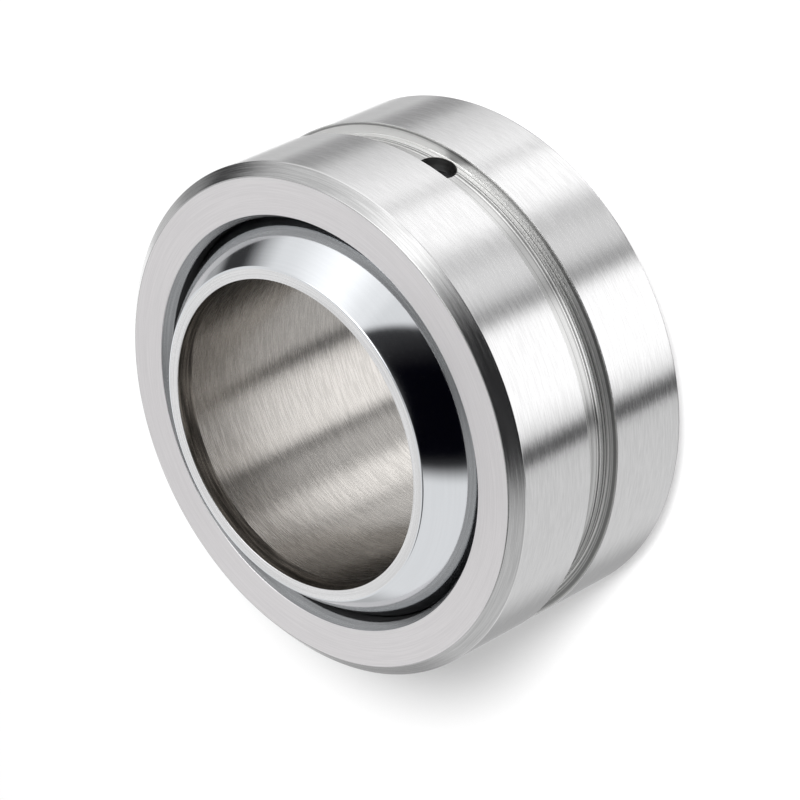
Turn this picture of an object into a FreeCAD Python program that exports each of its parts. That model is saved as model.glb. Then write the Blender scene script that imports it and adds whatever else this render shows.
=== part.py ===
import FreeCAD, Part

import math
import os

import Sketcher

# Radial spherical plain bearing: a ball-shaped inner ring held in an outer ring with a hollow
# spherical raceway. Millimetres. The origin is the centre of the ball, and +Z is the bore's axis.

# Driving dimensions
# The chain runs outwards: the bore, the side face beside it and the inner ring's width give the
# ball, the clearance gives the raceway, and the wall gives the outside diameter of 42 mm.
DIMENSIONS = {
    # inner ring
    "bore_diameter": 25.0,
    "inner_width": 24.3,
    "lead_in_axial": 1.25,
    "lead_in_radial": 0.15,
    "side_face_width": 0.9676,  # from the lead-in to the ball's sharp corner
    "ball_edge_break": 0.12,
    # outer ring
    "running_clearance": 0.05,  # radial, between the ball and the raceway
    "race_wall": 2.7,  # from the raceway to the outside, at mid width
    "outer_width": 19.5,
    "edge_chamfer_radial": 0.98,
    "edge_chamfer_axial": 0.92,
    "mouth_depth": 1.94,  # from the end face down to the raceway's edge
    "mouth_bevel_radial": 0.45,
    "mouth_bevel_axial": 0.86,
    # lubrication of the outer ring
    "oil_groove_width": 3.2,
    "oil_groove_depth": 0.95,
    "oil_hole_diameter": 3.0,
    "oil_hole_count": 2,
    "race_groove_width": 3.4,
    "race_groove_depth": 0.6,
    "tool_overrun": 0.5,  # how far a groove's cutting profile stands clear of the metal
}

# Sizes that follow from the driving ones, as expressions
BORE_RADIUS = "Dimensions.bore_diameter / 2"
LEAD_IN_RADIUS = f"({BORE_RADIUS} + Dimensions.lead_in_radial)"
FACE_CORNER_RADIUS = f"({LEAD_IN_RADIUS} + Dimensions.side_face_width)"
HALF_INNER_WIDTH = "Dimensions.inner_width / 2"
BALL_RADIUS = f"sqrt({FACE_CORNER_RADIUS}^2 + ({HALF_INNER_WIDTH})^2)"
RACE_RADIUS = f"({BALL_RADIUS} + Dimensions.running_clearance)"
OUTER_RADIUS = f"({RACE_RADIUS} + Dimensions.race_wall)"
HALF_OUTER_WIDTH = "Dimensions.outer_width / 2"
RACE_EDGE_HEIGHT = f"({HALF_OUTER_WIDTH} - Dimensions.mouth_depth)"
MOUTH_RADIUS = f"sqrt({RACE_RADIUS}^2 - {RACE_EDGE_HEIGHT}^2)"

# Sketch indices: of a curve's start, end and centre, of the two axes, and of the origin
START_INDEX, END_INDEX, CENTRE_INDEX = 1, 2, 3
HORIZONTAL_AXIS_INDEX, VERTICAL_AXIS_INDEX = -1, -2
ORIGIN_POINT = (HORIZONTAL_AXIS_INDEX, START_INDEX)


def make_sheet(doc):
    """The sheet of driving dimensions, one aliased cell each."""
    sheet = doc.addObject("Spreadsheet::Sheet", "Dimensions")
    for row, (alias, value) in enumerate(DIMENSIONS.items(), start=1):
        sheet.set(f"A{row}", alias.replace("_", " "))
        sheet.set(f"B{row}", str(value))
        sheet.setAlias(f"B{row}", alias)
    doc.recompute()
    return sheet


def origin_feature(body, role):
    """The body's own origin plane or axis with this role."""
    for feature in body.Origin.OriginFeatures:
        if feature.Role == role:
            return feature
    raise LookupError(f"{body.Label} has no {role}")


def make_body(doc, label):
    """An empty body whose label names its file."""
    body = doc.addObject("PartDesign::Body", label)
    body.Label = label
    return body


def make_sketch(body, name, role="XZ_Plane"):
    """A sketch on one of the body's origin planes."""
    sketch = body.newObject("Sketcher::SketchObject", name)
    sketch.AttachmentSupport = [(origin_feature(body, role), "")]
    sketch.MapMode = "FlatFace"
    return sketch


def dimension(sketch, kind, place, name, expression):
    """Add a dimension at a place in the sketch and bind it to an expression."""
    value = float(sketch.evalExpression(expression))
    index = sketch.addConstraint(Sketcher.Constraint(kind, *place, value))
    sketch.renameConstraint(index, name)
    sketch.setExpression(f"Constraints.{name}", expression)


def ring_outline(sketch, corners, round_side=None):
    """Draw a ring's section, symmetric about mid width, and bind every corner.

    corners are (name, radius, height) of the upper half, from the inside out, as expressions.
    round_side is "inside" or "outside" where that side is an arc about the origin, which passes
    through the end corner on that side; the other sides are straight.
    """
    upper = [
        FreeCAD.Vector(
            float(sketch.evalExpression(radius)), float(sketch.evalExpression(height)), 0
        )
        for _, radius, height in corners
    ]
    lower = [FreeCAD.Vector(point.x, -point.y, 0) for point in reversed(upper)]
    points = upper + lower
    last_upper = len(upper) - 1
    round_sides = {"outside": last_upper, "inside": len(points) - 1}
    segments = []
    for index, start in enumerate(points):
        end = points[(index + 1) % len(points)]
        if index == round_sides.get(round_side):
            segments.append(sketch.addGeometry(origin_arc(start, end), False))
        else:
            segments.append(sketch.addGeometry(Part.LineSegment(start, end), False))
    ends = [segment_ends(sketch, segment, points[i]) for i, segment in enumerate(segments)]
    for index, segment in enumerate(segments):
        following = (index + 1) % len(segments)
        sketch.addConstraint(
            Sketcher.Constraint(
                "Coincident", segment, ends[index][1], segments[following], ends[following][0]
            )
        )
    for index, (name, radius, height) in enumerate(corners):
        here = (segments[index], ends[index][0])
        mirrored_index = len(points) - 1 - index
        mirrored = (segments[mirrored_index], ends[mirrored_index][0])
        dimension(sketch, "DistanceX", (*ORIGIN_POINT, *here), f"{name}_radius", radius)
        dimension(sketch, "DistanceY", (*ORIGIN_POINT, *here), f"{name}_height", height)
        sketch.addConstraint(
            Sketcher.Constraint("Symmetric", *here, *mirrored, HORIZONTAL_AXIS_INDEX)
        )
    if round_side:
        arc = segments[round_sides[round_side]]
        sketch.addConstraint(
            Sketcher.Constraint("PointOnObject", arc, CENTRE_INDEX, VERTICAL_AXIS_INDEX)
        )


def origin_arc(start, end):
    """The arc about the origin between two points at the right of the axis."""
    angles = sorted(math.atan2(point.y, point.x) for point in (start, end))
    circle = Part.Circle(FreeCAD.Vector(0, 0, 0), FreeCAD.Vector(0, 0, 1), start.Length)
    return Part.ArcOfCircle(circle, *angles)


def segment_ends(sketch, segment, start):
    """Which ends of a segment come first and last along the outline."""
    begin = sketch.Geometry[segment].StartPoint
    if begin.isEqual(start, 1e-6):
        return START_INDEX, END_INDEX
    return END_INDEX, START_INDEX


def turned(body, kind, name, sketch):
    """Turn a section about the bore's axis, as added or removed metal."""
    feature = body.newObject(kind, name)
    feature.Profile = sketch
    feature.ReferenceAxis = (sketch, ["V_Axis"])
    feature.Angle = 360.0
    body.Document.recompute()
    return feature


def require_less(feature, before):
    """A cut has to take metal away."""
    if feature.Shape.Volume >= before - 1e-6:
        raise RuntimeError(f"{feature.Label} cuts nothing")


def make_inner_ring(doc):
    """Polished truncated ball with flat side faces, a bore and its two lead-ins."""
    body = make_body(doc, "inner_ring")
    section = make_sketch(body, "InnerRingSection")
    edge_height = f"({HALF_INNER_WIDTH} - Dimensions.ball_edge_break)"
    corners = [
        ("bore_end", BORE_RADIUS, f"{HALF_INNER_WIDTH} - Dimensions.lead_in_axial"),
        ("lead_in_mouth", LEAD_IN_RADIUS, HALF_INNER_WIDTH),
        ("side_face_rim", f"{FACE_CORNER_RADIUS} - Dimensions.ball_edge_break", HALF_INNER_WIDTH),
        ("ball_edge", f"sqrt(({BALL_RADIUS})^2 - {edge_height}^2)", edge_height),
    ]
    ring_outline(section, corners, round_side="outside")
    turned(body, "PartDesign::Revolution", "InnerRingTurned", section)
    return body


def make_outer_ring(doc):
    """Ground ring with a hollow spherical raceway, a recessed mouth at each side and oil ways."""
    body = make_body(doc, "outer_ring")
    section = make_sketch(body, "OuterRingSection")
    corners = [
        ("race_edge", MOUTH_RADIUS, RACE_EDGE_HEIGHT),
        ("mouth_wall_end", MOUTH_RADIUS, f"{HALF_OUTER_WIDTH} - Dimensions.mouth_bevel_axial"),
        ("mouth_rim", f"{MOUTH_RADIUS} + Dimensions.mouth_bevel_radial", HALF_OUTER_WIDTH),
        ("end_face_rim", f"{OUTER_RADIUS} - Dimensions.edge_chamfer_radial", HALF_OUTER_WIDTH),
        ("chamfer_end", OUTER_RADIUS, f"{HALF_OUTER_WIDTH} - Dimensions.edge_chamfer_axial"),
    ]
    ring_outline(section, corners, round_side="inside")
    turned(body, "PartDesign::Revolution", "OuterRingTurned", section)
    cut_oil_groove(body)
    cut_race_groove(body)
    drill_oil_holes(body)
    return body


def cut_oil_groove(body):
    """Square groove round the outside that feeds the holes."""
    cut_groove(
        body,
        "OilGroove",
        f"{OUTER_RADIUS} - Dimensions.oil_groove_depth",
        f"{OUTER_RADIUS} + Dimensions.tool_overrun",
        "Dimensions.oil_groove_width / 2",
    )


def cut_race_groove(body):
    """Shallow groove round the raceway that spreads the grease between the holes."""
    cut_groove(
        body,
        "RaceGroove",
        f"{RACE_RADIUS} - Dimensions.tool_overrun",
        f"{RACE_RADIUS} + Dimensions.race_groove_depth",
        "Dimensions.race_groove_width / 2",
    )


def cut_groove(body, name, low_radius, high_radius, half_width):
    """Turn a square groove about mid width between two radii."""
    before = body.Shape.Volume
    section = make_sketch(body, f"{name}Section")
    ring_outline(section, [("low", low_radius, half_width), ("high", high_radius, half_width)])
    groove = turned(body, "PartDesign::Groove", name, section)
    require_less(groove, before)


def drill_oil_holes(body):
    """Radial holes from the outside groove to the raceway, evenly spaced round the ring."""
    before = body.Shape.Volume
    doc = body.Document
    sketch = make_sketch(body, "OilHoleCentre", "YZ_Plane")
    circle = Part.Circle(FreeCAD.Vector(0, 0, 0), FreeCAD.Vector(0, 0, 1), 1)
    hole = sketch.addGeometry(circle, False)
    sketch.addConstraint(Sketcher.Constraint("Coincident", hole, CENTRE_INDEX, *ORIGIN_POINT))
    dimension(sketch, "Diameter", (hole,), "hole_diameter", "Dimensions.oil_hole_diameter")
    drill = body.newObject("PartDesign::Pocket", "OilHole")
    drill.Profile = sketch
    drill.setExpression("Length", f"{OUTER_RADIUS} + Dimensions.tool_overrun")
    # the first hole runs out towards +X
    drill.Reversed = True
    doc.recompute()
    require_less(drill, before)
    pattern = body.newObject("PartDesign::PolarPattern", "OilHoles")
    pattern.Originals = [drill]
    pattern.Axis = (origin_feature(body, "Z_Axis"), [""])
    pattern.Angle = 360.0
    pattern.setExpression("Occurrences", "Dimensions.oil_hole_count")
    body.Tip = pattern
    doc.recompute()


def check(doc, bodies):
    """Stop on a failed object or a body that is not one valid solid."""
    failed = [o.Label for o in doc.Objects if {"Invalid", "Error"} & set(o.State)]
    if failed:
        raise RuntimeError(f"failed: {failed}")
    for body in bodies:
        shape = body.Shape
        if shape.isNull() or not shape.isValid() or len(shape.Solids) != 1:
            raise RuntimeError(f"{body.Label} is not one valid solid")
        box = shape.optimalBoundingBox(True, False)
        size = f"{box.XLength:.3f} x {box.YLength:.3f} x {box.ZLength:.3f} mm"
        print(f"{body.Label}: {size}, {shape.Volume:.1f} mm3, {len(shape.Faces)} faces")


def main():
    doc = FreeCAD.newDocument("SphericalPlainBearing")
    make_sheet(doc)
    bodies = [make_inner_ring(doc), make_outer_ring(doc)]
    doc.recompute()
    check(doc, bodies)
    os.makedirs("parts", exist_ok=True)
    for body in bodies:
        body.Shape.exportStep(os.path.join("parts", f"{body.Label}.step"))


main()
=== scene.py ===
"""Looks of a spherical plain bearing: a polished ball ring that turns in a ground outer ring.

Both rings are surfaces of revolution about the Z axis, worked out as numpy grids from the outline
of their section. The frame is the bearing's own: origin in its middle, +Z along its axis.
Sections are written in millimetres and become metres as the mesh is made.
"""

import logging
import math
from dataclasses import dataclass, field
from enum import Enum
from typing import Sequence

import bpy
import numpy as np
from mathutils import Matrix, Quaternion, Vector


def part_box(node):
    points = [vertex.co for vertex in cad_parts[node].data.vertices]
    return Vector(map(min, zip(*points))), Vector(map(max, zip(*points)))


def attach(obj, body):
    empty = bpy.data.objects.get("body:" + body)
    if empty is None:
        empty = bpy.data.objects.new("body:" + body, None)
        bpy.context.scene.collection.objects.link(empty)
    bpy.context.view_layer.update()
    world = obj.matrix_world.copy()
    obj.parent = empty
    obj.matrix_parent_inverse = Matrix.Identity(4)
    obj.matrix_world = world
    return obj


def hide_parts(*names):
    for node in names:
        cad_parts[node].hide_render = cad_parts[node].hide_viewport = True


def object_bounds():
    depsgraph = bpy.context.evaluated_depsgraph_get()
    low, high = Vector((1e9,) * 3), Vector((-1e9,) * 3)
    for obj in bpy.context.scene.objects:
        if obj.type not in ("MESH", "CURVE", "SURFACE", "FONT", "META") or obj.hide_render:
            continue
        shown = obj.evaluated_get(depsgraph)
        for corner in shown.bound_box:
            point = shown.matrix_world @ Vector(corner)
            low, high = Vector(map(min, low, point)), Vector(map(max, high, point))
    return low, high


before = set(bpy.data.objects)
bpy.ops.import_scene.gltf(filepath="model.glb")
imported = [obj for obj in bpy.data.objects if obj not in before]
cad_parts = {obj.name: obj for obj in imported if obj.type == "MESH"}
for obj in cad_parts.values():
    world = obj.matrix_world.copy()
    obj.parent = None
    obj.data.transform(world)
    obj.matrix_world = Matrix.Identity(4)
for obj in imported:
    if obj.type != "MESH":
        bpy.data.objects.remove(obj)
CAD_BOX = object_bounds()

MM = 0.001
LOG = logging.getLogger("bearing")

Colour = tuple[float, float, float]
Rgba = tuple[float, float, float, float]
Place = tuple[float, float, float]
Links = dict[str | int, object]


class Lay(Enum):
    """What tells one fine line of a finish from the next."""

    HEIGHT = "lines that follow each other along the axis"
    RADIUS = "lines that follow each other outwards"


def direction(azimuth: float, elevation: float) -> Vector:
    """The unit vector (cos azimuth cos elevation, sin azimuth cos elevation, sin elevation).

    Args:
        azimuth: in degrees, from X towards Y.
        elevation: in degrees above level.

    Returns:
        The vector.
    """
    around, up = math.radians(azimuth), math.radians(elevation)
    return Vector((math.cos(around) * math.cos(up), math.sin(around) * math.cos(up), math.sin(up)))


def linked(name: str, data: bpy.types.ID) -> bpy.types.Object:
    """Makes an object and links it to the scene.

    Args:
        name: the object's name.
        data: its mesh, lamp or camera.

    Returns:
        The object, at the origin.
    """
    made = bpy.data.objects.new(name, data)
    bpy.context.scene.collection.objects.link(made)
    return made


class Wire:
    """An output socket that can be used in arithmetic."""

    def __init__(self, graph: "Graph", socket: bpy.types.NodeSocket | None) -> None:
        """Keeps the socket and the graph that new nodes go to."""
        self.graph = graph
        self.socket = socket

    def _maths(self, operation: str, *values: "Wire | float") -> "Wire":
        """Adds one Math node.

        Args:
            operation: the node's operation.
            values: its inputs in order, numbers or wires.

        Returns:
            The node's result.
        """
        sockets = dict(enumerate(values))
        return self.graph.node("ShaderNodeMath", {"operation": operation}, sockets)

    def __add__(self, other: "Wire | float") -> "Wire":
        """self + other."""
        return self._maths("ADD", self, other)

    def __radd__(self, other: "Wire | float") -> "Wire":
        """other + self."""
        return self._maths("ADD", other, self)

    def __sub__(self, other: "Wire | float") -> "Wire":
        """self - other."""
        return self._maths("SUBTRACT", self, other)

    def __rsub__(self, other: "Wire | float") -> "Wire":
        """other - self."""
        return self._maths("SUBTRACT", other, self)

    def __mul__(self, other: "Wire | float") -> "Wire":
        """self * other."""
        return self._maths("MULTIPLY", self, other)

    def __rmul__(self, other: "Wire | float") -> "Wire":
        """other * self."""
        return self._maths("MULTIPLY", other, self)

    def __truediv__(self, other: "Wire | float") -> "Wire":
        """self / other."""
        return self._maths("DIVIDE", self, other)

    def __pow__(self, other: "Wire | float") -> "Wire":
        """self to the power of other."""
        return self._maths("POWER", self, other)

    def angle_from(self, other: "Wire") -> "Wire":
        """The angle whose tangent is self over other, in radians."""
        return self._maths("ARCTAN2", self, other)

    def arcsine(self) -> "Wire":
        """The angle whose sine is self, in radians."""
        return self._maths("ARCSINE", self)

    def wrapped(self, low: float, high: float) -> "Wire":
        """self carried round into the range from low to high."""
        return self._maths("WRAP", self, high, low)

    def step(self, start: float, end: float) -> "Wire":
        """A smooth step of self.

        Args:
            start: the value where it is 0.
            end: the value where it is 1.

        Returns:
            The step, 0 to 1.
        """
        settings = {"interpolation_type": "SMOOTHSTEP"}
        sockets = {"Value": self, "From Min": start, "From Max": end}
        return self.graph.node("ShaderNodeMapRange", settings, sockets)


class Graph:
    """The nodes of one material or world. The Mix node's colour sockets go by their numbers."""

    MIX_FACTOR, MIX_A, MIX_B, MIX_RESULT = 0, 6, 7, 2

    def __init__(self, tree: bpy.types.NodeTree) -> None:
        """Empties the tree."""
        self.tree = tree
        tree.nodes.clear()

    def node(self, kind: str, settings: dict[str, object], sockets: Links,
             output: str | int = 0) -> Wire:
        """Adds one node.

        Args:
            kind: the node's type.
            settings: the node's own properties, set before its sockets.
            sockets: by name or number, the values or wires of its inputs.
            output: the output that is wanted.

        Returns:
            That output, or an empty wire where the node has none.
        """
        made = self.tree.nodes.new(kind)
        for name, value in settings.items():
            setattr(made, name, value)
        for key, value in sockets.items():
            if isinstance(value, Wire):
                self.tree.links.new(value.socket, made.inputs[key])
            else:
                made.inputs[key].default_value = value
        return Wire(self, made.outputs[output] if len(made.outputs) else None)

    def mixed(self, a: Wire | Rgba, b: Wire | Rgba, share: Wire) -> Wire:
        """Mixes two colours.

        Args:
            a: the colour where share is 0.
            b: the colour where share is 1.
            share: how much of b shows.

        Returns:
            The mixed colour.
        """
        settings = {"data_type": "RGBA"}
        sockets = {self.MIX_FACTOR: share, self.MIX_A: a, self.MIX_B: b}
        return self.node("ShaderNodeMix", settings, sockets, self.MIX_RESULT)

    def vector(self, operation: str, *values: Wire, **named: Wire | float) -> Wire:
        """Adds one Vector Math node.

        Args:
            operation: the node's operation.
            values: its vector inputs in order.
            named: its named inputs, such as Scale.

        Returns:
            The vector that it gives.
        """
        sockets = dict(enumerate(values)) | named
        return self.node("ShaderNodeVectorMath", {"operation": operation}, sockets)


@dataclass(frozen=True)
class Spot:
    """Where a point of a finish lies in the bearing's own coordinates, in millimetres.

    Attributes:
        place: the point.
        x: its place along X.
        y: its place along Y.
        radius: its distance from the axis.
        across: how far it lies along the way from one line to the next.
    """

    place: Wire
    x: Wire
    y: Wire
    radius: Wire
    across: Wire


@dataclass(frozen=True)
class Marks:
    """What the tool left at a point: fine lines, broader bands and a grain, each about 0 to 1."""

    lines: Wire
    bands: Wire
    grain: Wire


@dataclass(frozen=True)
class SteelFinish:
    """A steel surface whose fine lines run round the bearing's axis. Lengths are in millimetres.

    Attributes:
        name: the material's name.
        tint: the steel's mean colour.
        lay: which way the lines follow each other.
        roughness: the mean roughness.
        roughness_spread: how far the marks raise or lower it.
        anisotropy: how far highlights are drawn out across the lines.
        pitch: size of a line's noise across the line.
        stroke: its size along the line.
        relief: height of the marks.
        wander: how far the surface leans along the lines, as a slope.
        shade_spread: how far the marks darken or lighten the tint, as a share of it.
        metallic: how metallic the surface is, 0 to 1.
        cut: the range of noise over which a line fades. A narrow one gives thin, sharp lines.
        calm: the height below which the lines come in, or None where they are everywhere.
        painted_shade: colour of painted shade laid over the tint above a height, or None.
        painted_shade_from: the height above which the painted shade comes in.
        grazing: the share of its reflection that the surface keeps where it is seen at a low angle.
    """

    name: str
    tint: Colour
    lay: Lay
    roughness: float
    roughness_spread: float
    anisotropy: float
    pitch: float
    stroke: float
    relief: float
    wander: float
    shade_spread: float
    metallic: float = 1.0
    cut: float = 1.0
    calm: float | None = None
    painted_shade: Colour | None = None
    painted_shade_from: float = 0.0
    grazing: float = 1.0

    # the shader's turn that draws highlights out across the lines
    ACROSS_TURN = 0.25
    # the middle of a noise, and what then stretches it to the range from -1 to 1
    MIDDLE = 0.5
    SPREAD = 2.0
    # the finer detail in a noise, and how strong it is
    DETAIL = 1.0
    DETAIL_STRENGTH = 0.55
    # how much wider and longer bands are than lines, and the size of the grain
    BAND = 5.0
    BAND_STROKE = 2.0
    GRAIN_PITCH = 0.35
    # what lines, bands and grain each add to the unevenness, and where it is darkest and lightest
    LINES_SHARE, BANDS_SHARE, GRAIN_SHARE = 0.65, 0.27, 0.08
    SHADE_FROM, SHADE_TO = 0.3, 0.7
    # how far down the noise the sharpest lines are cut
    CUT_SHIFT = 0.09
    # a calm strip's level, the height over which it comes in, and the marks that are left in it
    CALM_LEVEL = 0.47
    CALM_REACH = 0.5
    CALM_LEFT = 0.1
    # the height over which the painted shade comes in, its most, and what light lines take off
    PAINTED_SHADE_REACH = 8.5
    PAINTED_SHADE_MOST = 0.62
    PAINTED_SHADE_SPREAD = 0.30
    # the length of a lean against a line's, and what the lines have of the relief
    LEAN_STROKE = 0.5
    RELIEF_OF_LINES = 0.6

    def material(self) -> bpy.types.Material:
        """Builds the finish. Its marks change the shade and the roughness and raise a relief.

        Returns:
            The material.
        """
        material = bpy.data.materials.new(self.name)
        material.use_nodes = True
        graph = Graph(material.node_tree)
        spot = self._spot(graph)
        marks = self._marks(graph, spot)
        uneven = marks.lines * self.LINES_SHARE + marks.bands * self.BANDS_SHARE
        uneven = uneven + marks.grain * self.GRAIN_SHARE
        surface = {
            "Base Color": self._colour(graph, spot, uneven),
            "Metallic": self.metallic,
            "Roughness": self.roughness + self.roughness_spread * (uneven - self.MIDDLE) * self.SPREAD,
            "Anisotropic": self.anisotropy,
            "Anisotropic Rotation": self.ACROSS_TURN,
            "Specular Tint": (self.grazing, self.grazing, self.grazing, 1),
            "Normal": self._normal(graph, spot, marks),
        }
        shader = graph.node("ShaderNodeBsdfPrincipled", {}, surface)
        graph.node("ShaderNodeOutputMaterial", {}, {"Surface": shader})
        return material

    def _spot(self, graph: Graph) -> Spot:
        """Reads where the point lies.

        Args:
            graph: the material's graph.

        Returns:
            The point's place and what follows from it.
        """
        metres = graph.node("ShaderNodeTexCoord", {}, {}, "Object")
        place = graph.vector("SCALE", metres, Scale=1 / MM)
        x, y, z = (graph.node("ShaderNodeSeparateXYZ", {}, {"Vector": place}, axis) for axis in "XYZ")
        radius = (x * x + y * y) ** 0.5
        return Spot(place, x, y, radius, z if self.lay is Lay.HEIGHT else radius)

    def _marks(self, graph: Graph, spot: Spot) -> Marks:
        """Draws the tool's marks. A line is a smooth step of its noise, and the narrower the step,
        the lower it lies, so that sharp lines are thin. In a calm strip all marks shrink towards
        one level.

        Args:
            graph: the material's graph.
            spot: where the point lies.

        Returns:
            The marks.
        """
        middle = self.MIDDLE - (1 - self.cut) * self.CUT_SHIFT
        lines = self._drawn(graph, spot, self.pitch, self.stroke)
        lines = lines.step(middle - self.cut / 2, middle + self.cut / 2)
        bands = self._drawn(graph, spot, self.pitch * self.BAND, self.stroke * self.BAND_STROKE)
        grain = self._noise(graph, graph.vector("SCALE", spot.place, Scale=1 / self.GRAIN_PITCH))
        if self.calm is None:
            return Marks(lines, bands, grain)
        tooled = spot.across.step(self.calm, self.calm - self.CALM_REACH)
        tooled = tooled * (1 - self.CALM_LEFT) + self.CALM_LEFT
        level = self.CALM_LEVEL
        return Marks(*((mark - level) * tooled + level for mark in (lines, bands, grain)))

    def _colour(self, graph: Graph, spot: Spot, uneven: Wire) -> Wire:
        """Shades the tint by the marks, and lays the painted shade over it, more of it in the dark lines.

        Args:
            graph: the material's graph.
            spot: where the point lies.
            uneven: all marks together, about 0 to 1.

        Returns:
            The colour.
        """
        dark, light = (tuple(c * (1 + way * self.shade_spread) for c in self.tint) for way in (-1, 1))
        colour = graph.mixed((*dark, 1), (*light, 1), uneven.step(self.SHADE_FROM, self.SHADE_TO))
        if self.painted_shade is None:
            return colour
        # painted shade: a darker colour that grows above the given height
        reach = spot.across.step(self.painted_shade_from, self.painted_shade_from + self.PAINTED_SHADE_REACH)
        share = reach * (self.PAINTED_SHADE_MOST - uneven * self.PAINTED_SHADE_SPREAD)
        return graph.mixed(colour, (*self.painted_shade, 1), share)

    def _normal(self, graph: Graph, spot: Spot, marks: Marks) -> Wire:
        """Leans the true normal a little along the lines, which feathers the edges of what the
        steel reflects, and raises the relief of lines and bands on it. The direction along the
        lines is (-y, x, 0) divided by the radius.

        Args:
            graph: the material's graph.
            spot: where the point lies.
            marks: the tool's marks there.

        Returns:
            The normal.
        """
        lean = self._drawn(graph, spot, self.pitch, self.stroke * self.LEAN_STROKE)
        x, y = -1 * spot.y / spot.radius, spot.x / spot.radius
        along = graph.node("ShaderNodeCombineXYZ", {}, {"X": x, "Y": y})
        to_world = {"vector_type": "VECTOR", "convert_from": "OBJECT", "convert_to": "WORLD"}
        along = graph.node("ShaderNodeVectorTransform", to_world, {"Vector": along})
        leaning = graph.vector("SCALE", along, Scale=(lean - self.MIDDLE) * self.SPREAD * self.wander)
        upright = graph.node("ShaderNodeNewGeometry", {}, {}, "Normal")
        normal = graph.vector("NORMALIZE", graph.vector("ADD", upright, leaning))
        height = marks.lines * self.RELIEF_OF_LINES + marks.bands * (1 - self.RELIEF_OF_LINES)
        bump = {"Height": height, "Distance": self.relief * MM, "Normal": normal}
        return graph.node("ShaderNodeBump", {}, bump)

    def _drawn(self, graph: Graph, spot: Spot, pitch: float, stroke: float) -> Wire:
        """Noise that is drawn out round the axis. It is read at x and y divided by the stroke, and
        at the way across the lines divided by the pitch.

        Args:
            graph: the material's graph.
            spot: where the point lies.
            pitch: size of the noise across the lines.
            stroke: its size along them.

        Returns:
            The noise, about 0 to 1.
        """
        read_at = {"X": spot.x / stroke, "Y": spot.y / stroke, "Z": spot.across / pitch}
        return self._noise(graph, graph.node("ShaderNodeCombineXYZ", {}, read_at))

    def _noise(self, graph: Graph, place: Wire) -> Wire:
        """Noise of unit size with some finer detail, at a place given as a wire."""
        fine = {"Detail": self.DETAIL, "Roughness": self.DETAIL_STRENGTH}
        return graph.node("ShaderNodeTexNoise", {}, {"Vector": place, "Scale": 1.0} | fine)


GROUND = SteelFinish(
    name="ground_outside", tint=(0.74, 0.738, 0.74), lay=Lay.HEIGHT, roughness=0.17,
    roughness_spread=0.035, anisotropy=0.35, pitch=0.08, stroke=1.6, relief=0.0009, wander=0.012,
    shade_spread=0.05,
)
CHAMFERED = SteelFinish(
    name="turned_chamfer", tint=(0.525, 0.525, 0.525), lay=Lay.RADIUS, roughness=0.21,
    roughness_spread=0.06, anisotropy=0.4, pitch=0.07, stroke=4.0, relief=0.0025, wander=0.03,
    shade_spread=0.10,
)
FACED = SteelFinish(
    name="ground_end_face", tint=(0.760, 0.742, 0.750), lay=Lay.RADIUS, roughness=0.33,
    roughness_spread=0.03, anisotropy=0.5, pitch=0.07, stroke=4.0, relief=0.0010, wander=0.03,
    shade_spread=0.035,
)
GROOVED = SteelFinish(
    name="turned_groove", tint=(0.585, 0.585, 0.58), lay=Lay.HEIGHT, roughness=0.22,
    roughness_spread=0.07, anisotropy=0.3, pitch=0.22, stroke=90.0, relief=0.011, wander=0.01,
    shade_spread=0.60, cut=0.14, calm=-0.15,
)
FLANKED = SteelFinish(
    name="turned_groove_flank", tint=(0.59, 0.59, 0.585), lay=Lay.RADIUS, roughness=0.53,
    roughness_spread=0.08, anisotropy=0.2, pitch=0.22, stroke=90.0, relief=0.003, wander=0.01,
    shade_spread=0.40, cut=0.4,
)
DARKENED = SteelFinish(
    name="darkened_raceway", tint=(0.05, 0.05, 0.052), lay=Lay.HEIGHT, roughness=0.45,
    roughness_spread=0.08, anisotropy=0.0, pitch=0.15, stroke=3.0, relief=0.001, wander=0.0,
    shade_spread=0.2, metallic=0.6,
)
BEVELLED = SteelFinish(
    name="turned_mouth_bevel", tint=(0.42, 0.42, 0.42), lay=Lay.RADIUS, roughness=0.26,
    roughness_spread=0.06, anisotropy=0.4, pitch=0.10, stroke=8.0, relief=0.001, wander=0.02,
    shade_spread=0.12,
)
DRILLED = SteelFinish(
    name="drilled_hole", tint=(0.33, 0.325, 0.32), lay=Lay.RADIUS, roughness=0.4,
    roughness_spread=0.1, anisotropy=0.0, pitch=0.25, stroke=2.0, relief=0.003, wander=0.0,
    shade_spread=0.2,
)
POLISHED = SteelFinish(
    name="polished_ball", tint=(0.78, 0.80, 0.825), lay=Lay.HEIGHT, roughness=0.09,
    roughness_spread=0.012, anisotropy=0.0, pitch=0.15, stroke=6.0, relief=0.00002, wander=0.0,
    shade_spread=0.01,
)
LAPPED = SteelFinish(
    name="lapped_inner_face", tint=(0.80, 0.80, 0.805), lay=Lay.RADIUS, roughness=0.26,
    roughness_spread=0.05, anisotropy=0.3, pitch=0.10, stroke=9.0, relief=0.0009, wander=0.02,
    shade_spread=0.07,
)
# the bore gets painted shade: darker and browner towards its front end, above a height of 2.5 mm
HONED = SteelFinish(
    name="honed_bore", tint=(0.59, 0.567, 0.54), lay=Lay.HEIGHT, roughness=0.27,
    roughness_spread=0.04, anisotropy=0.9, pitch=0.12, stroke=1.8, relief=0.0016, wander=0.028,
    shade_spread=0.13, painted_shade=(0.15, 0.135, 0.12), painted_shade_from=2.5, grazing=0.35,
)
LED_IN = SteelFinish(
    name="turned_lead_in", tint=(0.205, 0.192, 0.178), lay=Lay.HEIGHT, roughness=0.2,
    roughness_spread=0.1, anisotropy=0.2, pitch=0.25, stroke=5.0, relief=0.006, wander=0.08,
    shade_spread=0.6,
)


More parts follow.
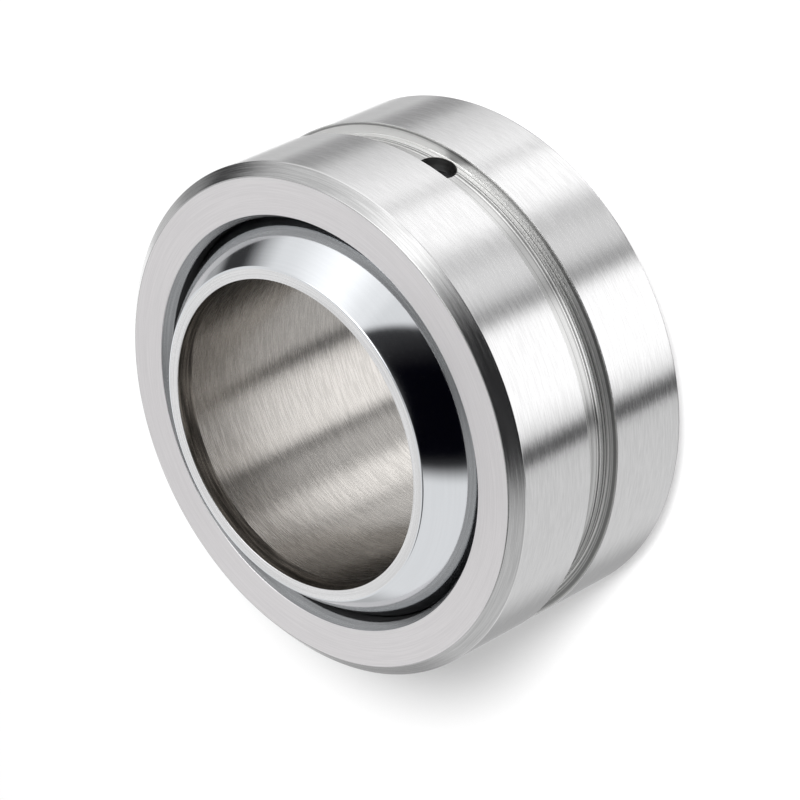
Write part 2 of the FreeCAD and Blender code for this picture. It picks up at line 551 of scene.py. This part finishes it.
@dataclass(frozen=True)
class Wall:
    """One wall of a ring's section, from its own corner to the next wall's. In millimetres.

    A wall with a sphere lies on the sphere of that radius about the origin, and any other is
    straight. The edge is how far the rounding at the wall's own corner reaches along both walls.
    """

    radius: float
    height: float
    finish: SteelFinish
    edge: float = 0.05
    steps: int = 1
    sphere: float = 0.0


class Section:
    """The closed outline of a ring's section, walked with the steel on its left.

    Attributes:
        walls: the walls in order.
        first: the row at which each wall starts.
        places: radius and height of each row, in millimetres.
        normals: the outward direction of each row, as radius and height.
        owners: the wall that each row belongs to.
    """

    # steps in a rounded corner
    EDGE_STEPS = 5

    def __init__(self, walls: Sequence[Wall]) -> None:
        """Samples every wall and the rounded corner after it.

        Args:
            walls: the walls in order, upwards on the outside.
        """
        self.walls = walls
        places, slopes, owners = [], [], []
        self.first: list[int] = []
        for number, wall in enumerate(walls):
            after = walls[(number + 1) % len(walls)]
            later = walls[(number + 2) % len(walls)]
            self.first.append(sum(len(p) for p in places))
            place, slope = self._wall(wall, after)
            next_place, _ = self._wall(after, later)
            meeting = np.array([after.radius, after.height])
            corner, corner_slope = self._corner(place[-1], meeting, next_place[0])
            places += [place, corner]
            slopes += [slope, corner_slope]
            owners += [np.full(len(place) + len(corner), number)]
        self.places = np.concatenate(places)
        slopes = np.concatenate(slopes)
        length = np.linalg.norm(slopes, axis=1)[:, None]
        self.normals = np.stack([slopes[:, 1], -slopes[:, 0]], 1) / length
        self.owners = np.concatenate(owners)

    def _wall(self, wall: Wall, after: Wall) -> tuple[np.ndarray, np.ndarray]:
        """Points of a wall between its rounded ends, and their directions.

        A straight wall is start + share * (end - start). A wall on a sphere is
        sphere * (cos latitude, sin latitude), with the latitude in even steps.

        Args:
            wall: the wall.
            after: the wall that it runs into.

        Returns:
            The points, radius and height, and the directions of travel.
        """
        start, end = np.array([wall.radius, wall.height]), np.array([after.radius, after.height])
        share = np.linspace(0, 1, wall.steps + 1)[:, None]
        if not wall.sphere:
            along = (end - start) / np.linalg.norm(end - start)
            start, end = start + along * wall.edge, end - along * after.edge
            return start + share * (end - start), np.tile(along, (len(share), 1))
        low, high = math.atan2(start[1], start[0]), math.atan2(end[1], end[0])
        way = math.copysign(1, high - low)
        low, high = low + way * wall.edge / wall.sphere, high - way * after.edge / wall.sphere
        latitude = low + share[:, 0] * (high - low)
        place = wall.sphere * np.stack([np.cos(latitude), np.sin(latitude)], 1)
        return place, way * np.stack([-np.sin(latitude), np.cos(latitude)], 1)

    def _corner(self, start: np.ndarray, corner: np.ndarray,
                end: np.ndarray) -> tuple[np.ndarray, np.ndarray]:
        """Points inside a rounded corner, and their directions.

        The rounding is the curve (1 - s)^2 * start + 2 s (1 - s) * corner + s^2 * end.

        Args:
            start: the last point of the wall before.
            corner: where the two walls would meet.
            end: the first point of the wall after.

        Returns:
            The points, radius and height, and the directions of travel.
        """
        s = np.linspace(0, 1, self.EDGE_STEPS + 1)[1:-1, None]
        place = (1 - s) ** 2 * start + 2 * s * (1 - s) * corner + s**2 * end
        return place, (1 - s) * (corner - start) + s * (end - corner)

    def rows(self, number: int, beyond: int) -> np.ndarray:
        """The rows of one wall and of a few points of the corners beside it, lowest first.

        Args:
            number: the wall's place in the list.
            beyond: points of each corner that are taken in.

        Returns:
            The row numbers, sorted by height.
        """
        start = self.first[number] - beyond
        stop = self.first[number] + self.walls[number].steps + 1 + beyond
        rows = np.arange(start, stop)
        return rows if self.places[rows[0], 1] < self.places[rows[-1], 1] else rows[::-1]


@dataclass(frozen=True)
class RadialHole:
    """A round hole from one groove floor to another, along a radius. In millimetres.

    Attributes:
        radius: the hole's radius.
        edge: how far its rim is broken.
        half_window: columns of the grid that it takes up on each side of its middle.
        beyond: points of each floor's corners that its window takes in.
        rings: rings of faces between the window's border and the rim.
        depth_steps: steps down its wall.
    """

    radius: float
    edge: float = 0.03
    half_window: int = 9
    beyond: int = 3
    rings: int = 5
    depth_steps: int = 4


@dataclass
class Turning:
    """A closed surface of revolution about the Z axis, held as arrays until it becomes a mesh.

    Attributes:
        section: the outline that is turned.
        columns: steps round the axis.
        points: all points, in millimetres.
        normals: the true surface's normal at each point.
        grid: the number of the point at each row and column.
        faces: four points each.
        finishes: the finish of each face, by number, or GONE where the face is cut away.
    """

    GONE = -1

    section: Section
    columns: int
    points: np.ndarray = field(init=False)
    normals: np.ndarray = field(init=False)
    grid: np.ndarray = field(init=False)
    faces: np.ndarray = field(init=False)
    finishes: np.ndarray = field(init=False)

    def __post_init__(self) -> None:
        """Turns the section: a point is (r cos a, r sin a, z), with a in even steps round the axis."""
        angle = np.arange(self.columns) * 2 * math.pi / self.columns
        around = np.stack([np.cos(angle), np.sin(angle)], 1)
        self.points = self._carried(self.section.places, around)
        self.normals = self._carried(self.section.normals, around)
        count = len(self.section.places)
        self.grid = np.arange(count * self.columns).reshape(count, self.columns)
        ahead, above = np.roll(self.grid, -1, 1), np.roll(self.grid, -1, 0)
        corners = [self.grid, ahead, np.roll(above, -1, 1), above]
        self.faces = np.stack(corners, -1).reshape(-1, 4)
        self.finishes = np.repeat(self.section.owners, self.columns)

    def _carried(self, flat: np.ndarray, around: np.ndarray) -> np.ndarray:
        """Carries pairs of radius and height round the axis.

        Args:
            flat: one pair for each row.
            around: cosine and sine of each column's angle.

        Returns:
            One point for each row and column, rows first.
        """
        level = flat[:, None, :1] * around[None]
        upright = np.broadcast_to(flat[:, None, 1:], (*level.shape[:2], 1))
        return np.concatenate([level, upright], 2).reshape(-1, 3)

    def drill(self, hole: RadialHole, azimuth: float, outer_rows: np.ndarray, inner_rows: np.ndarray,
              finish: int) -> None:
        """Cuts a radial hole through two bands of the surface and joins their rims by a wall.

        A point of the wall lies (1 - share) * top + share * bottom out along the hole's axis, and
        the hole's radius beside it.

        Args:
            hole: the hole.
            azimuth: where it is, in degrees.
            outer_rows: the section's rows on the outer band, lowest first.
            inner_rows: the same on the inner band, as many.
            finish: the number of the wall's finish.
        """
        angle = math.radians(azimuth)
        axis = np.array([[math.cos(angle), math.sin(angle), 0], [-math.sin(angle), math.cos(angle), 0],
                         [0, 0, 1]])
        middle = round(angle / (2 * math.pi) * self.columns)
        columns = np.arange(middle - hole.half_window, middle + hole.half_window + 1) % self.columns
        outer_rim, turn = self._patch(hole, axis, outer_rows, columns, outward=True)
        inner_rim, _ = self._patch(hole, axis, inner_rows, columns, outward=False, turn=turn)
        inward = -(np.cos(turn)[:, None] * axis[1] + np.sin(turn)[:, None] * axis[2])
        top = self.points[outer_rim] @ axis[0] - hole.edge
        bottom = self.points[inner_rim] @ axis[0] + hole.edge
        rings = [outer_rim]
        for share in np.linspace(0, 1, hole.depth_steps + 1):
            depth = top + share * (bottom - top)
            rings.append(self._added(depth[:, None] * axis[0] - hole.radius * inward, inward))
        rings.append(inner_rim)
        for ring, deeper in zip(rings, rings[1:]):
            self._strip(ring, deeper, finish, flip=False)

    def _patch(self, hole: RadialHole, axis: np.ndarray, rows: np.ndarray, columns: np.ndarray,
               outward: bool, turn: np.ndarray | None = None) -> tuple[np.ndarray, np.ndarray]:
        """Replaces a window of the grid by rings that shrink from its border to the hole's rim.

        A point of a ring is (1 - s) * border + s * rim, in width and height, and its distance
        from the axis is read off the section at that height.

        Args:
            hole: the hole.
            axis: the hole's own axes, outwards, sideways and up.
            rows: the window's rows, lowest first.
            columns: the window's columns.
            outward: whether the band faces outwards.
            turn: the rim's angles, or None where the border gives them.

        Returns:
            The rim's points in order, and their angles round the hole.
        """
        radii, heights = self.section.places[rows].T
        slopes = self.section.normals[rows].T
        border = np.concatenate([
            self.grid[rows[0], columns], self.grid[rows[1:], columns[-1]],
            self.grid[rows[-1], columns[-2::-1]], self.grid[rows[-2:0:-1], columns[0]],
        ])
        window = np.zeros(self.grid.shape, bool)
        window[np.ix_(np.arange(rows.min(), rows.max()), columns[:-1])] = True
        self.finishes[:window.size][window.ravel()] = self.GONE
        owner = int(self.section.owners[rows[len(rows) // 2]])
        flat = self.points[border] @ axis[1:].T
        turn = np.arctan2(flat[:, 1], flat[:, 0]) if turn is None else turn
        rim = (hole.radius + hole.edge) * np.stack([np.cos(turn), np.sin(turn)], 1)
        rings = [border]
        for s in np.linspace(0, 1, hole.rings + 1)[1:]:
            width, height = ((1 - s) * flat + s * rim).T
            radius = np.interp(height, heights, radii)
            depth = np.sqrt(radius**2 - width**2)
            place = depth[:, None] * axis[0] + width[:, None] * axis[1] + height[:, None] * axis[2]
            level, upright = (np.interp(height, heights, slope) for slope in slopes)
            normal = (level / radius)[:, None] * (place - height[:, None] * axis[2])
            rings.append(self._added(place, normal + upright[:, None] * axis[2]))
        for ring, closer in zip(rings, rings[1:]):
            self._strip(ring, closer, owner, flip=not outward)
        return rings[-1], turn

    def _added(self, points: np.ndarray, normals: np.ndarray) -> np.ndarray:
        """Adds points to the surface.

        Args:
            points: the points.
            normals: their normals.

        Returns:
            The points' numbers.
        """
        numbers = np.arange(len(points)) + len(self.points)
        self.points = np.concatenate([self.points, points])
        self.normals = np.concatenate([self.normals, normals])
        return numbers

    def _strip(self, ring: np.ndarray, inner: np.ndarray, finish: int, flip: bool) -> None:
        """Joins two rings of equal length by a closed strip of faces.

        Args:
            ring: the first ring, walked to the left as its outside is seen.
            inner: the ring to its left.
            finish: the number of the faces' finish.
            flip: turns the faces over.
        """
        corners = [ring, np.roll(ring, -1), np.roll(inner, -1), inner]
        faces = np.stack(corners[::-1] if flip else corners, 1)
        self.faces = np.concatenate([self.faces, faces])
        self.finishes = np.concatenate([self.finishes, np.full(len(faces), finish)])

    def to_object(self, name: str, finishes: Sequence[SteelFinish]) -> bpy.types.Object:
        """Makes the mesh, with the normals of the true surface.

        Args:
            name: the piece's name.
            finishes: the finish of each number that the faces hold.

        Returns:
            The object, at the origin.
        """
        shown = self.finishes != self.GONE
        faces, numbers = self.faces[shown], self.finishes[shown]
        used, faces = np.unique(faces, return_inverse=True)
        faces = faces.reshape(-1, 4)
        kinds = list(dict.fromkeys(finishes))
        mesh = bpy.data.meshes.new(name)
        mesh.vertices.add(len(used))
        mesh.vertices.foreach_set("co", (self.points[used] * MM).astype(np.float32).ravel())
        mesh.loops.add(faces.size)
        mesh.loops.foreach_set("vertex_index", faces.astype(np.int32).ravel())
        mesh.polygons.add(len(faces))
        mesh.polygons.foreach_set("loop_start", np.arange(0, faces.size, 4, dtype=np.int32))
        places = np.array([kinds.index(f) for f in finishes], np.int32)
        mesh.polygons.foreach_set("material_index", places[numbers])
        mesh.update(calc_edges=True)
        mesh.shade_smooth()
        mesh.normals_split_custom_set_from_vertices(self.normals[used].tolist())
        for finish in kinds:
            known = bpy.data.materials.get(finish.name)
            mesh.materials.append(known or finish.material())
        return linked(name, mesh)


@dataclass
class InnerRing:
    """The ball ring: a plain bore with lead-ins, two flat side faces and a polished ball outside.

    Sizes are in millimetres. The ball's radius and the width come from the CAD node. What ends in
    _edge is how far a corner is rounded, and what ends in _steps counts the grid's rows.
    """

    name: str = "ball_ring"
    columns: int = 512
    bore: float = 12.5
    lead_in_axial: float = 1.25
    lead_in_radial: float = 0.15
    ball_edge: float = 0.12
    mouth_edge: float = 0.06
    bore_edge: float = 0.2
    ball_steps: int = 72
    bore_steps: int = 12
    lead_in_steps: int = 2

    def build(self) -> bpy.types.Object:
        """Builds the ring in place of its CAD node.

        Returns:
            The piece.
        """
        _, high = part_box("inner_ring")
        ball, half = high.x / MM, high.z / MM
        face = math.sqrt(ball**2 - half**2)
        mouth = self.bore + self.lead_in_radial
        start = half - self.lead_in_axial
        walls = [
            Wall(mouth, -half, LAPPED, self.mouth_edge),
            Wall(face, -half, POLISHED, self.ball_edge, self.ball_steps, ball),
            Wall(face, half, LAPPED, self.ball_edge),
            Wall(mouth, half, LED_IN, self.mouth_edge, self.lead_in_steps),
            Wall(self.bore, start, HONED, self.bore_edge, self.bore_steps),
            Wall(self.bore, -start, LED_IN, self.bore_edge, self.lead_in_steps),
        ]
        turning = Turning(Section(walls), self.columns)
        return turning.to_object(self.name, [wall.finish for wall in walls])


@dataclass
class OuterRing:
    """The outer ring: ground outside, chamfered, with a lubrication groove, two radial holes, and
    a raceway that is set back behind a bevelled mouth at each end.

    Sizes are in millimetres, and angles in degrees. The outside and the width come from the CAD
    node. What ends in _edge is how far a corner is rounded, and what ends in _steps counts the
    grid's rows.
    """

    name: str = "race_ring"
    columns: int = 512
    chamfer_radial: float = 0.98
    chamfer_axial: float = 0.92
    mouth: float = 16.55
    mouth_depth: float = 1.94
    bevel_radial: float = 0.45
    bevel_axial: float = 0.86
    raceway: float = 18.30
    groove_half: float = 1.6
    groove_floor: float = 20.05
    race_groove_half: float = 1.7
    race_groove_floor: float = 18.9
    fine_edge: float = 0.05
    chamfer_edge: float = 0.07
    groove_edge: float = 0.03
    groove_foot_edge: float = 0.07
    bevel_foot_edge: float = 0.08
    race_groove_edge: float = 0.2
    floor_steps: int = 14
    flat_steps: int = 2
    land_steps: int = 3
    raceway_steps: int = 12
    hole: RadialHole = field(default_factory=lambda: RadialHole(radius=1.5))
    hole_azimuths: tuple[float, ...] = (0.0, 180.0)

    def build(self) -> bpy.types.Object:
        """Builds the ring in place of its CAD node.

        Returns:
            The piece.
        """
        walls = self._walls()
        section = Section(walls)
        turning = Turning(section, self.columns)
        finishes = [wall.finish for wall in walls] + [DRILLED]
        floor = next(i for i, w in enumerate(walls) if w.radius == self.groove_floor)
        race_floor = next(i for i, w in enumerate(walls) if w.radius == self.race_groove_floor)
        for azimuth in self.hole_azimuths:
            rows = [section.rows(number, self.hole.beyond) for number in (floor, race_floor)]
            turning.drill(self.hole, azimuth, *rows, finish=len(walls))
        return turning.to_object(self.name, finishes)

    def _walls(self) -> list[Wall]:
        """Lays out the section: up the outside, in over the top face and down the inside.

        Returns:
            The walls in that order.
        """
        _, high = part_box("outer_ring")
        outside, half = high.x / MM, high.z / MM
        land = half - self.chamfer_axial
        step = half - self.mouth_depth
        bevel_foot = half - self.bevel_axial
        lip = math.sqrt(self.raceway**2 - self.race_groove_half**2)
        return [
            Wall(self.mouth + self.bevel_radial, -half, FACED, self.fine_edge, self.flat_steps),
            Wall(outside - self.chamfer_radial, -half, CHAMFERED, self.chamfer_edge, self.flat_steps),
            Wall(outside, -land, GROUND, self.chamfer_edge, self.land_steps),
            Wall(outside, -self.groove_half, FLANKED, self.groove_edge),
            Wall(self.groove_floor, -self.groove_half, GROOVED, self.groove_foot_edge, self.floor_steps),
            Wall(self.groove_floor, self.groove_half, FLANKED, self.groove_foot_edge),
            Wall(outside, self.groove_half, GROUND, self.groove_edge, self.land_steps),
            Wall(outside, land, CHAMFERED, self.chamfer_edge, self.flat_steps),
            Wall(outside - self.chamfer_radial, half, FACED, self.chamfer_edge, self.flat_steps),
            Wall(self.mouth + self.bevel_radial, half, BEVELLED, self.fine_edge, self.flat_steps),
            Wall(self.mouth, bevel_foot, DARKENED, self.bevel_foot_edge),
            Wall(self.mouth, step, DARKENED, self.fine_edge, self.raceway_steps, self.raceway),
            Wall(lip, self.race_groove_half, DARKENED, self.fine_edge),
            Wall(self.race_groove_floor, self.race_groove_half, DARKENED, self.race_groove_edge,
                 self.floor_steps),
            Wall(self.race_groove_floor, -self.race_groove_half, DARKENED, self.race_groove_edge),
            Wall(lip, -self.race_groove_half, DARKENED, self.fine_edge, self.raceway_steps, self.raceway),
            Wall(self.mouth, -step, DARKENED, self.fine_edge),
            Wall(self.mouth, -bevel_foot, BEVELLED, self.bevel_foot_edge, self.flat_steps),
        ]


@dataclass(frozen=True)
class Panel:
    """A light or dark field of the studio, as the bearing sees it, with soft edges. In degrees.

    Attributes:
        level: how bright it is, where 1 is white.
        start: azimuth of its start, counted from the studio's camera_azimuth.
        end: azimuth of its end.
        low: elevation of its lower edge, or LOWEST where it has none.
        high: elevation of its upper edge, or HIGHEST where it has none.
        start_soft: width over which its start fades.
        end_soft: width over which its end fades.
        low_soft: width over which its lower edge fades.
        high_soft: width over which its upper edge fades.
        end_slant: how far its end moves on for each degree up.
    """

    LOWEST = -90.0
    HIGHEST = 90.0

    level: float
    start: float
    end: float
    low: float = LOWEST
    high: float = HIGHEST
    start_soft: float = 8.0
    end_soft: float = 8.0
    low_soft: float = 10.0
    high_soft: float = 10.0
    end_slant: float = 0.0

    def share(self, azimuth: Wire, elevation: Wire) -> Wire:
        """How much of the panel shows in a direction: the product of a smooth step at each edge.

        Args:
            azimuth: the direction's azimuth from the camera's, in degrees.
            elevation: its elevation, in degrees.

        Returns:
            The share, 0 to 1.
        """
        middle, half = (self.start + self.end) / 2, (self.end - self.start) / 2
        aside = (azimuth - middle).wrapped(-180, 180)
        ended = aside - self.end_slant * elevation if self.end_slant else aside
        share = aside.step(-half - self.start_soft / 2, -half + self.start_soft / 2)
        share = share * ended.step(half + self.end_soft / 2, half - self.end_soft / 2)
        if self.low > self.LOWEST:
            soft = self.low_soft / 2
            share = share * elevation.step(self.low - soft, self.low + soft)
        if self.high < self.HIGHEST:
            soft = self.high_soft / 2
            share = share * elevation.step(self.high + soft, self.high - soft)
        return share


@dataclass
class Studio:
    """The light: a studio of soft panels that the steel reflects, one soft lamp and a white floor.

    Attributes:
        camera_azimuth: the azimuth that the panels and the lamp count from, in degrees.
        ground: level of the studio where no panel is.
        fill: level that the floor and other matt surfaces get from all sides.
        cold: what blue gets beyond red and green.
        white: what the camera sees behind the bearing.
        panels: the panels, each painted over the ones before it.
        lamp_azimuth: the lamp's azimuth from the camera's, in degrees.
        lamp_elevation: its elevation, in degrees.
        lamp_distance: its distance from the bearing, in metres.
        lamp_size: its diameter, in metres.
        lamp_power: its power, in watts.
        floor_size: the floor's width, in metres.
        floor_colour: the floor's colour.
        floor_glow: how much of the floor's own white the camera sees over the lit floor.
    """

    camera_azimuth: float = -42.7
    ground: float = 0.84
    fill: float = 0.10
    cold: float = 0.0016
    white: Colour = (1.0, 1.0, 1.0)
    panels: tuple[Panel, ...] = (
        # everything below the horizon, and dark fields behind to the left
        Panel(0.76, -180, 180, high=-12, high_soft=16),
        Panel(0.42, -168, -132, high=-12, start_soft=10, end_soft=26),
        Panel(0.50, -168, -138, low=-30, high=12, end_soft=16, start_soft=14),
        Panel(0.14, -140, -56, low=42),
        # the large light to the right, with its brighter parts
        Panel(0.98, 42, 98, low=-20, start_soft=9, end_soft=44),
        Panel(1.34, 58, 84, low=-20, start_soft=22, end_soft=34),
        Panel(2.80, 44, 104, low=44, start_soft=30, end_soft=30),
        Panel(1.23, 42, 94, high=-20, start_soft=14, end_soft=46),
        Panel(0.82, 69, 76, high=-20),
        # soft dark bands behind to the right, and a light behind the bearing
        Panel(0.38, 115, 136, high=-20, start_soft=14, end_soft=12),
        Panel(0.62, 142, 160, high=-20),
        Panel(0.40, 113, 150, low=-20, high=14, start_soft=16),
        Panel(0.04, 121, 139, low=-14, high=12, start_soft=12, end_soft=8),
        Panel(1.35, 163, 187, high=10, start_soft=5, end_soft=8),
        # the dark field in front, above the horizon, which the ball shows
        Panel(0.035, -57.5, 4.5, low=-4, high=43, start_soft=13, end_soft=7, high_soft=5,
              end_slant=0.95),
        Panel(0.001, -50, 0, low=-4, high=43, start_soft=10, end_soft=28, high_soft=5, end_slant=0.5),
        Panel(0.02, -65, 25, low=43, high=66, start_soft=12, end_soft=40, low_soft=5),
        # overhead
        Panel(0.25, 115, 205, low=64),
        Panel(0.78, -150, -60, low=66),
        Panel(0.45, -50, 15, low=66, start_soft=20, end_soft=20),
        # lights and dark gaps in front, below the horizon, which the outside shows
        Panel(0.00, -57, -47, high=-18, start_soft=4, end_soft=6),
        Panel(1.31, -42, 3.5, high=-18, start_soft=22, end_soft=7),
        Panel(0.32, 6, 13, high=-18, start_soft=5, end_soft=7),
        Panel(0.94, 17, 31, high=-18),
        Panel(0.78, 31, 38, high=-18),
        # steeply below, which the bore shows
        Panel(0.04, 84, 210, high=-50, start_soft=10, end_soft=20),
        Panel(0.14, 210, 306, high=-54, start_soft=20, end_soft=20),
        Panel(2.20, -50, 9, high=-50),
        Panel(0.02, 12, 44, high=-50),
        Panel(3.10, 50, 83, high=-50, end_soft=10),
    )
    lamp_azimuth: float = 13.5
    lamp_elevation: float = 43.0
    lamp_distance: float = 2.0
    lamp_size: float = 0.44
    lamp_power: float = 61.0
    floor_size: float = 6.0
    floor_colour: Colour = (0.97, 0.97, 0.97)
    floor_glow: float = 0.42

    def build(self) -> None:
        """Builds the world, the lamp and the floor."""
        self._world()
        self._lamp()
        self._floor()

    def _world(self) -> None:
        """The camera sees plain white, the floor an even fill, and the steel the panels, which are
        painted in order over an even ground. Light Path only tells reflections apart where the
        world isn't sampled as a lamp, so that is switched off."""
        world = bpy.data.worlds.new("studio")
        bpy.context.scene.world = world
        world.use_nodes = True
        graph = Graph(world.node_tree)
        towards = graph.node("ShaderNodeTexCoord", {}, {}, "Generated")
        x, y, z = (graph.node("ShaderNodeSeparateXYZ", {}, {"Vector": towards}, axis) for axis in "XYZ")
        azimuth = y.angle_from(x) * math.degrees(1) - self.camera_azimuth
        elevation = z.arcsine() * math.degrees(1)
        level: Wire | float = self.ground
        for panel in self.panels:
            share = panel.share(azimuth, elevation)
            level = level * (1 - share) + panel.level * share
        spread = graph.node("ShaderNodeLightPath", {}, {}, "Is Diffuse Ray")
        level = level * (1 - spread) + self.fill * spread
        seen = graph.node("ShaderNodeLightPath", {}, {}, "Is Camera Ray")
        tones = {"Red": level, "Green": level, "Blue": level + self.cold}
        colour = graph.node("ShaderNodeCombineColor", {}, tones)
        colour = graph.mixed(colour, (*self.white, 1), seen)
        shader = graph.node("ShaderNodeBackground", {}, {"Color": colour, "Strength": 1.0})
        graph.node("ShaderNodeOutputWorld", {}, {"Surface": shader})
        world.cycles.sampling_method = "NONE"

    def _lamp(self) -> None:
        """One soft round lamp, which throws the shadow on the floor and isn't seen in the steel."""
        towards = direction(self.camera_azimuth + self.lamp_azimuth, self.lamp_elevation)
        lamp = bpy.data.lights.new("soft_lamp", "AREA")
        lamp.shape = "DISK"
        lamp.size = self.lamp_size
        lamp.energy = self.lamp_power
        made = linked("soft_lamp", lamp)
        made.location = towards * self.lamp_distance
        made.rotation_euler = towards.to_track_quat("Z", "Y").to_euler()
        made.visible_glossy = False

    def _floor(self) -> None:
        """A white floor that keeps the bearing's shadow. The steel reflects the panels through it."""
        half = self.floor_size / 2
        mesh = bpy.data.meshes.new("floor")
        ways = [(-1, -1), (1, -1), (1, 1), (-1, 1)]
        mesh.from_pydata([(x * half, y * half, CAD_BOX[0].z) for x, y in ways], [], [(0, 1, 2, 3)])
        floor = linked("floor", mesh)
        material = bpy.data.materials.new("white_floor")
        material.use_nodes = True
        graph = Graph(material.node_tree)
        matt = graph.node("ShaderNodeBsdfDiffuse", {}, {"Color": (*self.floor_colour, 1)})
        glow = graph.node("ShaderNodeEmission", {}, {"Color": (*self.white, 1), "Strength": 1.0})
        seen = graph.node("ShaderNodeLightPath", {}, {}, "Is Camera Ray")
        shader = graph.node("ShaderNodeMixShader", {}, {0: seen * self.floor_glow, 1: matt, 2: glow})
        graph.node("ShaderNodeOutputMaterial", {}, {"Surface": shader})
        mesh.materials.append(material)
        floor.visible_glossy = False


@dataclass
class ProductCamera:
    """The camera at the photograph's viewing angle, turned about its own view as the photograph is.

    Attributes:
        aim: the point that it looks at, in millimetres.
        azimuth: where it stands, in degrees from X towards Y.
        elevation: how high it stands, in degrees.
        distance: how far it stands from its aim, in millimetres.
        roll: its turn about its own view, in degrees.
        lens: its focal length, in millimetres.
        sensor: the width of its sensor, in millimetres.
    """

    # the nearest that it sees, as a share of its distance
    NEAR = 0.05

    aim: Place = (-1.03, -0.54, 0.47)
    azimuth: float = -42.450
    elevation: float = 40.489
    distance: float = 311.8
    roll: float = -115.78
    lens: float = 178.63
    sensor: float = 36.0

    def build(self) -> None:
        """Places the camera and makes it the scene's own."""
        back = direction(self.azimuth, self.elevation)
        data = bpy.data.cameras.new("product_camera")
        data.lens = self.lens
        data.sensor_width = self.sensor
        data.clip_start = self.distance * MM * self.NEAR
        camera = linked("product_camera", data)
        camera.rotation_mode = "QUATERNION"
        camera.location = (Vector(self.aim) + back * self.distance) * MM
        roll = Quaternion((0, 0, 1), math.radians(self.roll))
        camera.rotation_quaternion = (-back).to_track_quat("-Z", "Y") @ roll
        bpy.context.scene.camera = camera


def dress(piece: bpy.types.Object, body: str, node: str) -> None:
    """Lets a piece stand for its CAD node.

    Args:
        piece: the finished piece.
        body: the CAD body that it rides on.
        node: the CAD node that it replaces.
    """
    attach(piece, body)
    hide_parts(node)
    LOG.info("%s: %d corners, %d faces", piece.name, len(piece.data.vertices), len(piece.data.polygons))


def main() -> None:
    """Builds the bearing and the studio around it."""
    logging.basicConfig(level=logging.INFO, format="%(name)s: %(message)s")
    bpy.context.scene.view_settings.view_transform = "Standard"
    ProductCamera().build()
    Studio().build()
    dress(InnerRing().build(), "inner", "inner_ring")
    dress(OuterRing().build(), "outer", "outer_ring")


if __name__ == "__main__":
    main()
